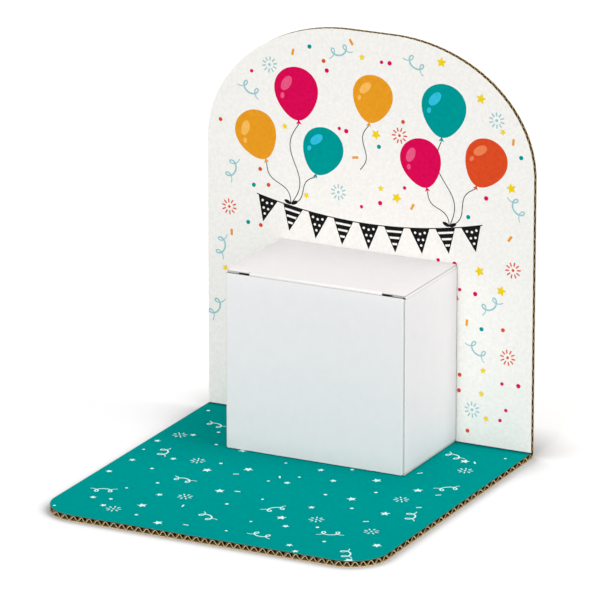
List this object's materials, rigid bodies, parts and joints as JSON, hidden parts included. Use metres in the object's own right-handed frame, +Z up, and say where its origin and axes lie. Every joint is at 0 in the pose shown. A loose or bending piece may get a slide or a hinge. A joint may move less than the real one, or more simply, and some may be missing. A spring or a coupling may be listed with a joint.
{
  "type": "gift stand with carton",
  "caption": "Corrugated-board gift stand: a printed base creased into an upright arched back panel, with a white tuck-end carton for a money gift taped in front of it.",
  "frame": {"origin": "middle of the stand's footprint, on the surface that it stands on", "axes": "+Z up, +Y towards the back (the side of the upright panel), +X to the right seen from the printed front"},
  "size_m": [0.15, 0.155, 0.174],
  "materials": {
    "teal_print": "matte",
    "white_print": "matte",
    "kraft_medium": "matte",
    "kraft_liner": "matte",
    "white_card": "matte",
    "tape": "matte"
  },
  "bodies": {
    "stand": {"base_face_liner": "teal_print", "base_fluting": "kraft_medium", "base_back_liner": "kraft_liner", "carton_sleeve": "white_card", "bottom_panel": "white_card", "bottom_tuck_flap": "white_card", "bottom_dust_flap_left": "white_card", "bottom_dust_flap_right": "white_card", "tape_strip_front": "tape", "tape_strip_rear": "tape"},
    "back_panel": {"panel_face_liner": "white_print", "panel_fluting": "kraft_medium", "panel_back_liner": "kraft_liner"},
    "lid": {"lid": "white_card"},
    "tuck_flap": {"lid_tuck_flap": "white_card"},
    "dust_flap_left": {"dust_flap_left": "white_card"},
    "dust_flap_right": {"dust_flap_right": "white_card"}
  },
  "joints": [
    {"name": "back_panel_fold", "type": "hinge", "parent": "stand", "child": "back_panel", "pos_m": [0, 0.07668, 0.00082], "axis": [-1, 0, 0], "range_deg": [0, 90]},
    {"name": "lid_hinge", "type": "hinge", "parent": "stand", "child": "lid", "pos_m": [0, 0.0744, 0.08015], "axis": [-1, 0, 0], "range_deg": [0, 90]},
    {"name": "tuck_flap_crease", "type": "hinge", "parent": "lid", "child": "tuck_flap", "pos_m": [0, 0.02575, 0.07935], "axis": [1, 0, 0], "range_deg": [0, 70]},
    {"name": "dust_flap_left_crease", "type": "hinge", "parent": "stand", "child": "dust_flap_left", "pos_m": [-0.0402, 0.0494, 0.0788], "axis": [0, 1, 0], "range_deg": [0, 90]},
    {"name": "dust_flap_right_crease", "type": "hinge", "parent": "stand", "child": "dust_flap_right", "pos_m": [0.0402, 0.0494, 0.0788], "axis": [0, -1, 0], "range_deg": [0, 90]}
  ]
}
